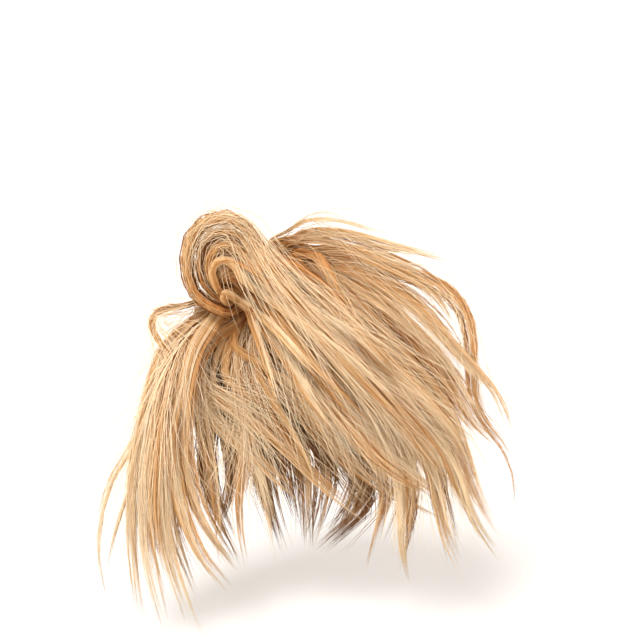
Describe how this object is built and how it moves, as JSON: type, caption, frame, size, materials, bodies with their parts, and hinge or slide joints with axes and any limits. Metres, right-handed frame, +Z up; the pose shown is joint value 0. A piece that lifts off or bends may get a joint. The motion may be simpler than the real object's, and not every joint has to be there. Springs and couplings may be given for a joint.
{
  "type": "top knot hairpiece",
  "caption": "Tousled blonde hairpiece on an elastic loop, worn round a low knot, with a curl at one side and loose locks fanning down.",
  "frame": {"origin": "middle of the band's back opening, where it sits round the wearer's own knot of hair", "axes": "+Y along the band's axis into the head, -Y away from the head, +Z up, +X to the right as seen from behind the wearer"},
  "size_m": [0.2568, 0.0829, 0.2661],
  "materials": {
    "elastic_band": "matte knitted elastic",
    "under_layer": "satin fibre, the darkest",
    "centre_fall": "satin fibre",
    "left_fall": "satin fibre",
    "right_sweep": "satin fibre",
    "side_loop": "satin fibre",
    "right_fall": "satin fibre",
    "front_fall": "satin fibre, light",
    "curl_lock": "satin fibre, the lightest"
  },
  "bodies": {
    "root": {"elastic_band": "elastic_band", "under_layer": "under_layer", "centre_fall": "centre_fall", "left_fall": "left_fall", "right_sweep": "right_sweep", "side_loop": "side_loop", "right_fall": "right_fall", "front_fall": "front_fall", "curl_lock": "curl_lock"}
  },
  "joints": []
}
